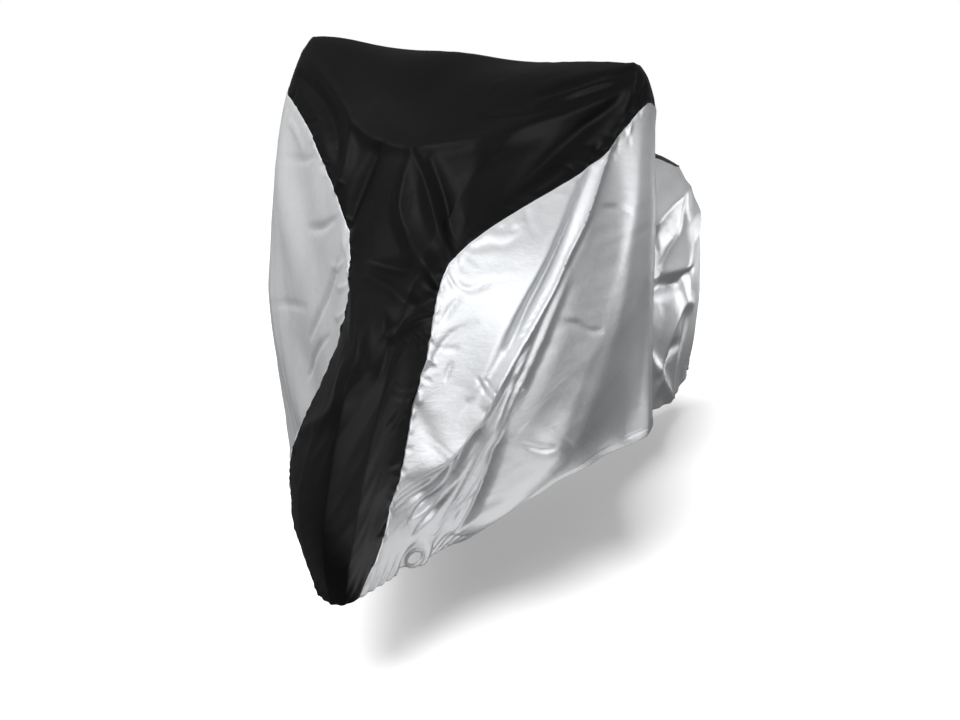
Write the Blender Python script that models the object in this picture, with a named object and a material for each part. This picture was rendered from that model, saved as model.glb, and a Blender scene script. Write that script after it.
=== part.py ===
"""Bicycle cover, hollow, hanging in the shape it takes over a bicycle on its side stand.

Metres, +Z up, the bicycle's front towards -Y, its left side towards +X.  The cover is
worked out as one surface over the bicycle: sections run from the left hem over the top
to the right hem, and follow each other from the front hem to the rear hem.  The seams
are lines of that surface, and each panel is the stretch of cloth between its seams.
"""
import math

import bmesh
import bpy
import numpy as np
from mathutils import Matrix, Vector

CLOTH = 0.0018            # thickness of the coated cloth with its lining
GAP = 0.0003              # clearance between two sewn pieces
TOP_POINT = (0.040, 0.190, 1.037)   # under the top, at the handlebar's middle

# Points on the cover, in millimetres from the spot where the front wheel touches the
# floor.  One row is one section; its columns run from the left hem to the right hem.
COLUMNS = ("hem_l", "flank_l", "seam_l", "shoulder_l", "ridge",
           "shoulder_r", "seam_r", "flank_r", "hem_r")
SECTIONS = (
    # front hem, drawn in round the tyre
    ((135, 0, 175), (147, -140, 190), (162, -272, 205), (151, -292, 200), (128, -298, 197),
     (96, -290, 198), (62, -264, 200), (8, -150, 186), (-50, -20, 180)),
    # above the front hem
    ((155, 25, 190), (162, -112, 234), (165, -217, 282), (168, -300, 275), (141, -320, 266),
     (86, -306, 275), (22, -270, 296), (-32, -146, 232), (-78, -10, 181)),
    # front axle
    ((180, 62, 206), (180, -80, 285), (156, -182, 368), (169, -277, 357), (148, -326, 345),
     (80, -308, 360), (12, -260, 392), (-65, -135, 270), (-105, 0, 182)),
    # top of the front tyre
    ((238, 140, 245), (225, 0, 390), (181, -141, 544), (182, -222, 550), (146, -262, 550),
     (104, -238, 565), (60, -195, 580), (-75, -90, 380), (-180, 12, 186)),
    # waist of the black panel
    ((295, 217, 283), (265, 65, 470), (201, -98, 690), (168, -118, 700), (112, -108, 702),
     (56, -110, 704), (0, -104, 704), (-135, -45, 440), (-245, 25, 192)),
    # below the handlebar
    ((340, 273, 311), (334, 215, 560), (311, 179, 847), (205, 34, 868), (88, -20, 866),
     (-35, -26, 880), (-150, -33, 880), (-255, -15, 540), (-295, 35, 200)),
    # front of the handlebar
    ((372, 300, 328), (368, 292, 640), (356, 286, 945), (336, 272, 1013), (42, 170, 1040),
     (-254, 74, 1082), (-286, 36, 980), (-322, 10, 600), (-326, 38, 215)),
    # back of the handlebar
    ((360, 345, 335), (358, 338, 640), (352, 334, 935), (328, 322, 1003), (34, 235, 1034),
     (-258, 122, 1074), (-290, 92, 970), (-314, 90, 600), (-305, 110, 220)),
    # over the top tube
    ((225, 580, 262), (222, 575, 590), (195, 560, 850), (138, 552, 892), (55, 550, 915),
     (-20, 548, 905), (-90, 540, 870), (-138, 535, 590), (-150, 530, 240)),
    # front of the saddle
    ((181, 800, 208), (188, 798, 620), (138, 779, 859), (108, 768, 873), (75, 760, 880),
     (30, 768, 872), (-15, 780, 850), (-62, 790, 560), (-80, 800, 225)),
    # back of the saddle
    ((158, 995, 180), (192, 990, 670), (146, 975, 826), (112, 975, 850), (78, 975, 862),
     (20, 978, 850), (-30, 982, 800), (-60, 992, 520), (-70, 1000, 200)),
    # behind the saddle
    ((124, 1105, 162), (144, 1168, 690), (84, 1200, 804), (72, 1206, 808), (56, 1212, 810),
     (10, 1208, 800), (-30, 1192, 765), (-60, 1160, 500), (-66, 1115, 182)),
    # top of the rear tyre
    ((104, 1200, 160), (120, 1290, 560), (66, 1380, 630), (58, 1385, 632), (48, 1388, 632),
     (20, 1378, 630), (-6, 1352, 620), (-44, 1280, 420), (-56, 1210, 175)),
    # rear axle
    ((94, 1270, 165), (102, 1336, 360), (60, 1396, 366), (46, 1403, 364), (30, 1406, 362),
     (8, 1402, 365), (-16, 1390, 370), (-40, 1334, 300), (-46, 1280, 174)),
    # rear hem, drawn in round the tyre
    ((80, 1320, 172), (74, 1344, 176), (52, 1362, 180), (40, 1366, 182), (24, 1368, 182),
     (6, 1366, 182), (-12, 1358, 180), (-28, 1344, 178), (-38, 1326, 175)),
)
ROWS_BETWEEN = (3, 4, 6, 6, 7, 5, 2, 5, 5, 4, 4, 4, 3, 3)   # sections drawn between two rows
STEPS_BETWEEN = (7, 7, 3, 5, 5, 3, 7, 7)                    # steps between two columns

EYELET_ROW = 1            # sections up from the front hem
EYELET_STEPS = (7, sum(STEPS_BETWEEN) - 7)
EYELET_FACES = ((0.88, -0.42, -0.22), (-0.70, -0.42, -0.58))   # which way each one looks
PATCH_ROWS = 3            # the patch round an eyelet, in sections and in steps
PATCH_HALF = 2
FLAT_REACH = 0.045        # the cloth is flat this far round an eyelet
BORE = 0.0125             # radii of an eyelet ring
NECK = 0.0145
RING = 0.0185
FLANGE = 0.0012           # thickness of its flanges
LIP = 0.6                 # share of its height at which the bore's edge is rounded off
RING_SIDES = 24
SHARP_ANGLE = math.radians(40)
FOLD_STEPS = 8            # short runs in each span of a fold's line
END_SHARE = 0.06          # a fold starts and stops at this share of its own length
END_WIDTH = 0.35          # share of its width that a fold keeps at its ends
BEND = 0.35               # how much steeper a facet is at its crest than half way down
HEM_EASE = 0.09           # the facets die out over this much cloth above the side hems

# Crests between the broad flat facets of the left panel, in millimetres.  Each row is
# a point of the crest, how far the cloth stands out there, and how far the slopes reach
# to the crest's left and to its right, seen from outside.
FACET_COLUMNS = ("x", "y", "z", "height", "left", "right")
FACETS = (
    # the billow beside the black panel
    ((318, 200, 880, 0, 40, 20), (307, 169, 841, 12, 80, 25), (289, 107, 739, 30, 130, 90),
     (268, 48, 663, 40, 180, 130), (248, -5, 592, 42, 210, 145), (232, -34, 533, 42, 240, 140),
     (214, -50, 440, 42, 250, 150), (196, -95, 376, 38, 120, 140), (186, -142, 364, 28, 60, 120),
     (181, -204, 353, 9, 40, 60)),
    # the edge of the flat stretch in front of the grip
    ((351, 265, 919, 0, 60, 60), (349, 249, 772, 14, 60, 90), (342, 232, 697, 20, 70, 130),
     (333, 212, 602, 28, 90, 200), (313, 174, 501, 36, 130, 240), (297, 154, 435, 38, 150, 250),
     (271, 130, 357, 36, 150, 250), (246, 113, 303, 30, 130, 200), (198, 56, 242, 18, 80, 120),
     (161, -11, 207, 4, 40, 60)),
)

# Folds: a crest or a valley that runs through two or three points, in millimetres.
# height is how far the cloth stands out there (in, where it is negative), width is
# how far to each side the fold reaches, and soft rounds its crest.
FOLDS = (
    # through, height, width, soft
    # black panel: the edge where the cloth leaves the bar and falls to the tyre
    (((-225, 45, 1040), (-104, 10, 961), (60, -25, 868)), 12, 60, 0.3),
    (((80, -26, 862), (158, 20, 879), (244, 100, 909), (318, 220, 950)), 12, 55, 0.3),
    # black panel: the hollow under that edge, the crest down from its middle
    (((14, -40, 835), (15, -94, 740), (20, -121, 681)), -14, 60, 0.3),
    (((77, -28, 858), (125, -75, 780), (172, -98, 724), (205, -120, 640)), 12, 45, 0.3),
    (((310, 195, 890), (274, 117, 849), (225, 0, 790)), -12, 45, 0.2),
    # black panel: the pocket under the right end of the bar
    (((-262, 40, 1010), (-160, -5, 950), (-62, -51, 837)), -14, 55, 0.3),
    # black panel: the sag of the top between the stem and each grip
    (((100, 170, 1040), (190, 225, 1025), (290, 262, 1015)), -14, 80, 0.5),
    (((-30, 200, 1050), (-120, 150, 1065), (-200, 120, 1070)), -12, 80, 0.5),
    # left panel: the crease that bounds the billow beside the black panel
    (((296, 123, 675), (277, 77, 577), (246, 17, 482), (209, -54, 395), (183, -180, 345)),
     -13, 62, 0.3),
    # left panel: the valley and the crest that run down from the grip
    (((312, 180, 860), (296, 131, 788), (276, 72, 716), (243, -13, 562)), -12, 45, 0.2),
    (((335, 235, 905), (308, 165, 790), (296, 123, 700), (262, 38, 550)), 13, 45, 0.2),
    # left panel: the lower valley beside that edge
    (((275, 71, 572), (259, 50, 479), (235, 26, 393), (197, -8, 289), (157, -64, 220)),
     -12, 45, 0.2),
    # left panel: pleats that fan out to the drawn-in front hem
    (((228, 5, 398), (190, -111, 335), (176, -213, 300)), 9, 52, 0.3),
    (((226, 9, 350), (185, -50, 270), (160, -100, 215)), 9, 48, 0.3),
    # left panel behind the grip: folds that spread down from the saddle's corner
    (((178, 974, 770), (190, 940, 620), (205, 870, 470), (205, 800, 330)), 16, 70, 0.2),
    (((182, 990, 740), (190, 1010, 560), (170, 1040, 380), (140, 1060, 240)), -14, 60, 0.2),
    (((150, 1140, 740), (150, 1110, 560), (150, 1060, 420), (160, 960, 280)), 14, 60, 0.2),
    (((345, 370, 900), (290, 480, 700), (240, 600, 520), (215, 700, 330)), -18, 90, 0.3),
    (((300, 430, 880), (240, 560, 780), (190, 740, 700)), 14, 80, 0.3),
    # right panel: folds that run down from the right grip
    (((-285, 40, 950), (-260, 0, 800), (-200, -60, 620), (-120, -110, 430), (-60, -130, 280)),
     14, 75, 0.2),
    (((-240, 0, 880), (-190, -50, 740), (-120, -100, 600), (-60, -150, 450)), -12, 60, 0.2),
    (((-310, 20, 800), (-300, 0, 600), (-260, 0, 400), (-200, 10, 230)), 13, 80, 0.3),
    (((-250, -10, 560), (-200, -30, 420), (-130, -20, 240)), -11, 60, 0.2),
    # right panel behind the grip
    (((-290, 110, 900), (-220, 280, 700), (-160, 440, 520), (-150, 560, 330)), -18, 90, 0.3),
    (((-260, 130, 930), (-150, 400, 820), (-60, 700, 760)), 13, 80, 0.3),
    (((-34, 980, 790), (-60, 930, 620), (-75, 850, 450), (-82, 780, 300)), 15, 70, 0.2),
    (((-34, 1000, 770), (-62, 1040, 560), (-66, 1080, 360)), -13, 60, 0.2),
)


def spline(points, steps, tight):
    """Centripetal Catmull-Rom curve through points, with so many steps in each span."""
    points = np.asarray(points, float)
    before = 2 * points[0] - points[1]
    after = 2 * points[-1] - points[-2]
    chain = np.concatenate([[before], points, [after]])
    out = [points[0]]
    for k, count in enumerate(steps):
        p0, p1, p2, p3 = chain[k:k + 4]
        t0 = 0.0
        t1 = t0 + math.sqrt(max(np.linalg.norm(p1 - p0), 1e-9))
        t2 = t1 + math.sqrt(max(np.linalg.norm(p2 - p1), 1e-9))
        t3 = t2 + math.sqrt(max(np.linalg.norm(p3 - p2), 1e-9))
        for step in range(1, count + 1):
            t = t1 + (t2 - t1) * step / count
            a1 = p0 + (p1 - p0) * (t - t0) / (t1 - t0)
            a2 = p1 + (p2 - p1) * (t - t1) / (t2 - t1)
            a3 = p2 + (p3 - p2) * (t - t2) / (t3 - t2)
            b1 = a1 + (a2 - a1) * (t - t0) / (t2 - t0)
            b2 = a2 + (a3 - a2) * (t - t1) / (t3 - t1)
            curve = b1 + (b2 - b1) * (t - t1) / (t2 - t1)
            chord = p1 + (p2 - p1) * step / count
            out.append(curve + (chord - curve) * tight)
    return np.array(out)


def base_surface(rows_between, steps_between):
    """Grid of points [section, step] in metres, before any fold."""
    table = np.array(SECTIONS, float) / 1000.0
    lines = [spline(table[:, k], rows_between, 0.2) for k in range(len(COLUMNS))]
    stations = np.stack(lines, axis=1)
    return np.array([spline(row, steps_between, 0.5) for row in stations])


def outward(grid):
    """Unit normals of the grid, pointing out of the cover."""
    along = np.gradient(grid, axis=0)
    across = np.gradient(grid, axis=1)
    normal = np.cross(along, across)
    return normal / np.linalg.norm(normal, axis=2, keepdims=True)
# ---- objects ----


def flattened(grid, centre, normal):
    """Grid drawn onto the plane of an eyelet, fully near it and fading out around it."""
    offset = grid - centre
    away = offset @ normal
    spread = np.linalg.norm(offset - away[..., None] * normal, axis=2)
    far = np.clip((spread - FLAT_REACH) / FLAT_REACH, 0.0, 1.0)
    share = 1.0 - far * far * (3.0 - 2.0 * far)
    share[np.linalg.norm(offset, axis=2) > 3 * FLAT_REACH] = 0.0
    return grid - (share * away)[..., None] * normal


def nearest_on(through, points, normals):
    """How far each point is from a line, how far along it, and whether to its left."""
    path = spline(through, [FOLD_STEPS] * (len(through) - 1), 0.0)
    reach = np.full(points.shape[:2], np.inf)
    along = np.zeros(points.shape[:2])
    left = np.zeros(points.shape[:2], bool)
    for k in range(len(path) - 1):
        run = path[k + 1] - path[k]
        place = np.clip((points - path[k]) @ run / (run @ run), 0.0, 1.0)
        offset = points - path[k] - place[..., None] * run
        away = np.linalg.norm(offset, axis=2)
        nearer = away < reach
        reach = np.where(nearer, away, reach)
        along = np.where(nearer, (k + place) / (len(path) - 1), along)
        left = np.where(nearer, np.sum(np.cross(normals, run) * offset, axis=2) > 0, left)
    return reach, along, left


def facet_height(points, normals):
    """How far the broad facets of the left panel stand out, from the crests between them."""
    lengths = np.linalg.norm(np.diff(points, axis=1), axis=2)
    across = np.concatenate([np.zeros((len(points), 1)), np.cumsum(lengths, axis=1)], axis=1)
    from_hem = np.minimum(across, across[:, -1:] - across)
    ease = np.clip(from_hem / HEM_EASE, 0.0, 1.0)
    height = np.zeros(points.shape[:2])
    for crest in FACETS:
        rows = np.array(crest, float) / 1000.0
        reach, along, left = nearest_on(rows[:, :3], points, normals)
        place = along * (len(rows) - 1)
        rise, left_reach, right_reach = (
            np.interp(place, np.arange(len(rows)), rows[:, FACET_COLUMNS.index(column)])
            for column in ("height", "left", "right"))
        q = np.clip(reach / np.where(left, left_reach, right_reach), 0.0, 1.0)
        height += rise * (1.0 - q) * (1.0 - BEND * q)
    return height * ease * (2.0 - ease)


def fold_height(points, normals):
    """How far the folds stand out from the plain shape."""
    height = np.zeros(points.shape[:2])
    for through, rise, width, soft in FOLDS:
        reach, along, _ = nearest_on(np.array(through) / 1000.0, points, normals)
        share = END_SHARE + (1.0 - 2.0 * END_SHARE) * along
        taper = np.sqrt(np.sin(math.pi * share))
        width_here = width / 1000.0 * (END_WIDTH + (1.0 - END_WIDTH) * taper)
        q = np.clip(np.sqrt(reach ** 2 + (soft * width_here) ** 2) / width_here, 0.0, 1.0)
        crest = (1.0 - q) ** 2 / (1.0 - soft) ** 2
        height += rise / 1000.0 * crest * taper
    return height


def cover_surface():
    """The whole cover as one grid of points, its normals, and its two eyelets."""
    grid = base_surface(ROWS_BETWEEN, STEPS_BETWEEN)
    plain = outward(grid)
    height = facet_height(grid, plain) + fold_height(grid, plain)
    grid = grid + height[..., None] * plain
    eyelets = []
    for step, face in zip(EYELET_STEPS, EYELET_FACES):
        centre = grid[EYELET_ROW, step].copy()
        eyelets.append((centre, np.array(face) / np.linalg.norm(face)))
    for centre, normal in eyelets:
        grid = flattened(grid, centre, normal)
    shift = np.array(TOP_POINT)
    eyelets = [(centre - shift, normal) for centre, normal in eyelets]
    return grid - shift, outward(grid), eyelets


def cloth_material(name, colour, roughness, metallic):
    """A Principled material for one finish."""
    material = bpy.data.materials.new(name)
    material.use_nodes = True
    shader = material.node_tree.nodes["Principled BSDF"]
    shader.inputs["Base Color"].default_value = (*colour, 1.0)
    shader.inputs["Roughness"].default_value = roughness
    shader.inputs["Metallic"].default_value = metallic
    return material


def new_object(name, bm, material):
    """Object in the scene from a finished bmesh, with its material on it."""
    bmesh.ops.recalc_face_normals(bm, faces=bm.faces)
    mesh = bpy.data.meshes.new(name)
    bm.to_mesh(mesh)
    bm.free()
    mesh.shade_smooth()
    mesh.set_sharp_from_angle(angle=SHARP_ANGLE)
    mesh.materials.append(material)
    made = bpy.data.objects.new(name, mesh)
    bpy.context.scene.collection.objects.link(made)
    return made


def pull(layer, row, step, to_row, to_step):
    """Moves one point of a layer half a gap towards another."""
    way = layer[to_row, to_step] - layer[row, step]
    layer[row, step] = layer[row, step] + way / np.linalg.norm(way) * GAP / 2


def parted(layer, rows, steps, meets, notch):
    """Copy of a layer with a piece's edges half a gap back from the pieces beside it."""
    layer = layer.copy()
    row_a, row_b = rows
    step_a, step_b = steps
    for row in range(row_a, row_b + 1):
        if "low_step" in meets:
            pull(layer, row, step_a, row, step_a + 1)
        if "high_step" in meets:
            pull(layer, row, step_b, row, step_b - 1)
    if "high_row" in meets:
        for step in range(step_a, step_b + 1):
            pull(layer, row_b, step, row_b - 1, step)
    if notch:
        (_, top), (low, high) = notch
        for row in range(top + 1):
            pull(layer, row, low, row, low - 1)
            pull(layer, row, high, row, high + 1)
        for step in range(low, high + 1):
            pull(layer, top, step, top + 1, step)
    return layer


def sheet(name, layers, rows, steps, meets, material, notch=None):
    """Closed solid of one piece of cloth, without its notch.

    The piece is laid out flat, x counting steps and y counting sections, with its
    inner face at z -1, and each corner then goes to its place on the cover.
    """
    outer, inner = (parted(layer, rows, steps, meets, notch) for layer in layers)
    high = rows[1] - rows[0]
    wide = steps[1] - steps[0]
    middle = Vector((steps[0] + wide / 2, rows[0] + high / 2, 0.0))
    bm = bmesh.new()
    bmesh.ops.create_grid(bm, x_segments=wide, y_segments=high, size=0.5,
                          matrix=Matrix.Translation(middle) @ Matrix.Diagonal((wide, high, 1, 1)))
    if notch:
        (_, top), (low, right) = notch
        cut = [face for face in bm.faces
               if face.calc_center_median().y < top and low < face.calc_center_median().x < right]
        bmesh.ops.delete(bm, geom=cut, context="FACES")
    doubled = bmesh.ops.extrude_face_region(bm, geom=list(bm.faces))["geom"]
    inside = [item for item in doubled if isinstance(item, bmesh.types.BMVert)]
    bmesh.ops.translate(bm, verts=inside, vec=(0, 0, -1))
    for vert in bm.verts:
        layer = inner if vert.co.z < -0.5 else outer
        vert.co = layer[round(vert.co.y), round(vert.co.x)]
    return new_object(name, bm, material)


def facing(centre, normal):
    """Matrix that puts +Z of a turned piece along normal, at centre."""
    turn = Vector((0, 0, 1)).rotation_difference(Vector(normal))
    return Matrix.Translation(Vector(centre)) @ turn.to_matrix().to_4x4()


def eyelet_ring(name, centre, normal, material):
    """Turned ring with a flange on each face of the cloth and a neck through it."""
    inner_face = CLOTH / 2 + GAP
    outer_face = inner_face + FLANGE
    lip = outer_face * LIP
    profile = ((BORE, -lip), (BORE, lip),
               (BORE + FLANGE, outer_face), (RING - FLANGE, outer_face),
               (RING, inner_face + FLANGE / 3), (RING - FLANGE / 3, inner_face),
               (NECK, inner_face), (NECK, -inner_face),
               (RING - FLANGE / 3, -inner_face), (RING, -inner_face - FLANGE / 3),
               (RING - FLANGE, -outer_face), (BORE + FLANGE, -outer_face))
    bm = bmesh.new()
    corners = [bm.verts.new((radius, 0, height)) for radius, height in profile]
    edges = [bm.edges.new((a, b)) for a, b in zip(corners, corners[1:] + corners[:1])]
    bmesh.ops.spin(bm, geom=corners + edges, cent=(0, 0, 0), axis=(0, 0, 1),
                   angle=math.tau, steps=RING_SIDES, use_merge=True)
    bmesh.ops.remove_doubles(bm, verts=bm.verts, dist=0.00001)
    middle = Vector(centre) - Vector(normal) * CLOTH / 2
    bmesh.ops.transform(bm, matrix=facing(middle, normal), verts=bm.verts)
    return new_object(name, bm, material)


def cut_eyelet(patch, centre, normal):
    """Round hole through a patch for the neck of its ring."""
    bm = bmesh.new()
    bmesh.ops.create_cone(bm, cap_ends=True, segments=RING_SIDES, radius1=NECK + GAP,
                          radius2=NECK + GAP, depth=20 * CLOTH, matrix=facing(centre, normal))
    mesh = bpy.data.meshes.new(patch.name + "_hole")
    bm.to_mesh(mesh)
    bm.free()
    cutter = bpy.data.objects.new(patch.name + "_hole", mesh)
    bpy.context.scene.collection.objects.link(cutter)
    cutter.hide_render = True
    cutter.display_type = "WIRE"
    cut = patch.modifiers.new("eyelet hole", "BOOLEAN")
    cut.operation = "DIFFERENCE"
    cut.solver = "EXACT"
    cut.object = cutter


def main():
    for old in list(bpy.data.objects):
        bpy.data.objects.remove(old)
    black = cloth_material("black_coated_polyester", (0.012, 0.012, 0.013), 0.42, 0.0)
    silver = cloth_material("silver_coated_polyester", (0.62, 0.63, 0.65), 0.38, 0.35)
    grey = cloth_material("silver_nylon_eyelet", (0.70, 0.71, 0.73), 0.35, 0.0)

    outer, normals, eyelets = cover_surface()
    layers = (outer, outer - normals * CLOTH)
    last_row = sum(ROWS_BETWEEN)
    last_step = sum(STEPS_BETWEEN)
    left_seam = sum(STEPS_BETWEEN[:COLUMNS.index("seam_l")])
    right_seam = sum(STEPS_BETWEEN[:COLUMNS.index("seam_r")])
    whole = (0, last_row)
    patches = [((0, PATCH_ROWS), (step - PATCH_HALF, step + PATCH_HALF)) for step in EYELET_STEPS]

    sheet("black_centre_panel", layers, whole, (left_seam, right_seam),
          ("low_step", "high_step"), black)
    sheet("silver_left_panel", layers, whole, (0, left_seam), ("high_step",), silver, patches[0])
    sheet("silver_right_panel", layers, whole, (right_seam, last_step), ("low_step",), silver,
          patches[1])
    for side, (rows, steps), (centre, normal) in zip(("left", "right"), patches, eyelets):
        patch = sheet("eyelet_patch_" + side, layers, rows, steps,
                      ("low_step", "high_step", "high_row"), silver)
        cut_eyelet(patch, centre, normal)
        eyelet_ring("eyelet_ring_" + side, centre, normal, grey)


main()
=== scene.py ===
# %% [markdown]
# A bicycle cover, hanging over a bicycle that is left out. Three long panels of coated cloth are
# sewn side by side: a dark one over the middle and a silvery one down each side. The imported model
# holds the sizes; everything here is its look, so it is loaded first and its box is kept.

# %%
import math

import bmesh
import bpy
import numpy as np
from mathutils import Euler, Matrix, Vector, noise


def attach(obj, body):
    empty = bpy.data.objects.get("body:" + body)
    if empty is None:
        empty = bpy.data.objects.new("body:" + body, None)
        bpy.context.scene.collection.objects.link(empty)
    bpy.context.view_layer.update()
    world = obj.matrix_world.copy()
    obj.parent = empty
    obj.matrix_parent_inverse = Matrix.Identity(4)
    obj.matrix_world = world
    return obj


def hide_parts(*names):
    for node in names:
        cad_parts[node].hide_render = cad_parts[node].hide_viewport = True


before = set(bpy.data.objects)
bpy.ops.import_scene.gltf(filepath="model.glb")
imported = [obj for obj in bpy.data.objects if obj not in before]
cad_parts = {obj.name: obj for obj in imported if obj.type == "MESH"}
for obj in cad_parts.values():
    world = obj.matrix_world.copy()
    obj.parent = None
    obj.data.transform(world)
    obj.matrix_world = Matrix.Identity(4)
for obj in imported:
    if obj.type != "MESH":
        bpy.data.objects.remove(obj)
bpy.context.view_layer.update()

# %% [markdown]
# Sizes that the cover is cut to, in metres. The cloth is a 1.8 mm sheet with its lining. Each ring
# is moulded and clips into a hole near the front hem, so that a lock can go through both.

# %%
TOP_POINT = (0.040, 0.190, 1.037)  # under the top, at the middle of the handlebar
FLOOR = -TOP_POINT[2]
MILLI = 1000.0  # millimetres in a metre
CLOTH = 0.0018
BORE = 0.0125  # radii of a ring, from the inside out
NECK = 0.0145
RING = 0.0185
FLANGE = 0.0012  # thickness of a ring's flanges
BULGE = 1.1  # how far a flange is rounded up, as a share of that
FIT = 0.0003  # clearance between a ring and the cloth
HOLE_EASE = 0.001  # the hole is first cut this much wider, then drawn to the neck
FLAT_REACH = 0.022  # the cloth is flat this far round a ring
EYELETS = (  # side, centre and outward direction of each ring
    ("left", (0.1120, -0.3207, -0.8324), (0.8804, -0.4202, -0.2201)),
    ("right", (-0.0455, -0.3389, -0.8355), (-0.6999, -0.4179, -0.5793)),
)

# %% [markdown]
# The camera stands in front of the bicycle's left side, 0.85 m above the floor. Its view is 960
# pixels wide and 720 high. The folds that face it are placed by where they show in that view.

# %%
CAMERA_PLACE = (0.886768, -1.266945, -0.183)
CAMERA_TURN = [math.radians(angle) for angle in (81.039, 0.0, 34.329)]  # about x, y and z
CAMERA_AXES = np.array(Euler(CAMERA_TURN).to_matrix())
LENS = 30.0  # focal length and film width, in millimetres
FILM = 36.0
SHIFT = -0.081942  # the view's rise, as a share of its width
VIEW_WIDE, VIEW_HIGH = 960, 720


def sight_line(x, y):
    """Direction in which the camera looks at a spot of its view, counted from the top left."""
    focal = VIEW_WIDE * LENS / FILM
    over = (x - VIEW_WIDE / 2) / focal
    down = (y - VIEW_HIGH / 2 - SHIFT * VIEW_WIDE) / focal
    line = CAMERA_AXES @ (over, -down, -1.0)
    return line / np.linalg.norm(line)


print("camera looks along", -CAMERA_AXES[:, 2].round(2))

# %% [markdown]
# The shape in which the cover hangs: sections from the left hem over the top to the right hem, one
# after another from the front hem to the rear hem. The cloth is stretched over the two bar ends and
# the saddle, falls in flat facets between them, and is drawn in round the wheels. The numbers are
# millimetres from the spot where the front wheel would touch the floor.

# %%
COLUMNS = ("hem_l", "flank_l", "seam_l", "shoulder_l", "ridge",
           "shoulder_r", "seam_r", "flank_r", "hem_r")
SECTIONS = (
    # front hem, drawn in round the tyre
    ((135, 0, 175), (147, -140, 190), (162, -272, 205), (151, -292, 200), (128, -298, 197),
     (96, -290, 198), (62, -264, 200), (8, -150, 186), (-50, -20, 180)),
    # above the front hem
    ((155, 25, 190), (162, -112, 234), (165, -217, 282), (168, -300, 275), (141, -320, 266),
     (86, -306, 275), (22, -270, 296), (-32, -146, 232), (-78, -10, 181)),
    # front axle
    ((180, 62, 206), (180, -80, 285), (156, -182, 368), (169, -277, 357), (148, -326, 345),
     (80, -308, 360), (12, -260, 392), (-65, -135, 270), (-105, 0, 182)),
    # top of the front tyre
    ((238, 140, 245), (225, 0, 390), (181, -141, 544), (182, -222, 550), (146, -262, 550),
     (104, -238, 565), (60, -195, 580), (-75, -90, 380), (-180, 12, 186)),
    # waist of the black panel
    ((295, 217, 283), (265, 65, 470), (201, -98, 690), (168, -118, 700), (112, -108, 702),
     (56, -110, 704), (0, -104, 704), (-135, -45, 440), (-245, 25, 192)),
    # below the handlebar
    ((340, 273, 311), (334, 215, 560), (311, 179, 847), (205, 34, 868), (88, -20, 866),
     (-35, -26, 880), (-150, -33, 880), (-255, -15, 540), (-295, 35, 200)),
    # front of the handlebar
    ((372, 300, 328), (368, 292, 640), (356, 286, 945), (336, 272, 1013), (42, 170, 1040),
     (-254, 74, 1082), (-286, 36, 980), (-322, 10, 600), (-326, 38, 215)),
    # back of the handlebar
    ((360, 345, 335), (358, 338, 640), (352, 334, 935), (328, 322, 1003), (34, 235, 1034),
     (-258, 122, 1074), (-290, 92, 970), (-314, 90, 600), (-305, 110, 220)),
    # over the top tube
    ((225, 580, 262), (222, 575, 590), (195, 560, 850), (138, 552, 892), (55, 550, 915),
     (-20, 548, 905), (-90, 540, 870), (-138, 535, 590), (-150, 530, 240)),
    # front of the saddle
    ((181, 800, 208), (188, 798, 620), (138, 779, 859), (108, 768, 873), (75, 760, 880),
     (30, 768, 872), (-15, 780, 850), (-62, 790, 560), (-80, 800, 225)),
    # back of the saddle
    ((158, 995, 180), (192, 990, 670), (146, 975, 826), (112, 975, 850), (78, 975, 862),
     (20, 978, 850), (-30, 982, 800), (-60, 992, 520), (-70, 1000, 200)),
    # behind the saddle
    ((124, 1105, 162), (144, 1168, 690), (84, 1200, 804), (72, 1206, 808), (56, 1212, 810),
     (10, 1208, 800), (-30, 1192, 765), (-60, 1160, 500), (-66, 1115, 182)),
    # top of the rear tyre
    ((104, 1200, 160), (120, 1290, 560), (66, 1380, 630), (58, 1385, 632), (48, 1388, 632),
     (20, 1378, 630), (-6, 1352, 620), (-44, 1280, 420), (-56, 1210, 175)),
    # rear axle
    ((94, 1270, 165), (102, 1336, 360), (60, 1396, 366), (46, 1403, 364), (30, 1406, 362),
     (8, 1402, 365), (-16, 1390, 370), (-40, 1334, 300), (-46, 1280, 174)),
    # rear hem, drawn in round the tyre
    ((80, 1320, 172), (74, 1344, 176), (52, 1362, 180), (40, 1366, 182), (24, 1368, 182),
     (6, 1366, 182), (-12, 1358, 180), (-28, 1344, 178), (-38, 1326, 175)),
)
ROWS_BETWEEN = (3, 4, 6, 6, 7, 5, 2, 5, 5, 4, 4, 4, 3, 3)  # from one section to the next
STEPS_BETWEEN = (7, 7, 3, 5, 5, 3, 7, 7)  # from one column to the next
FINE_ROWS = (8,) * 7 + (5,) * 6 + (6,)  # and so many times finer than that
FINE_STEPS = (8, 8, 7, 7, 7, 7, 6, 6)
HEM_MARKS = (0.0, 0.0015, 0.005, 0.010, 0.015, 0.018, 0.0194, 0.021, 0.023)  # from an edge
SEAM_MARKS = (0.0, 0.0012, 0.0035)  # from a seam
LEAST_SPAN = 0.030  # a shorter span counts as this long when marks are set in it
TIGHT_ALONG = 0.2  # how straight the cloth runs between points: 0 is a free curve
TIGHT_ACROSS = 0.5
print(len(SECTIONS), "sections of", len(COLUMNS), "columns")

# %% [markdown]
# The broad forms of the cloth. Its largest are flat facets on the left panel, which meet in two
# crests that run down from the bar end. Each row of a crest is a point of it, how far the cloth
# stands out there, and how far the slopes reach to its left and to its right.
#
# A fold is a crest (or a valley, where the height is negative) along a line through a few points.
# Its slopes reach so far to its left and to its right, seen from outside along the line, so it can
# fall gently on one side and sharply on the other.

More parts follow.
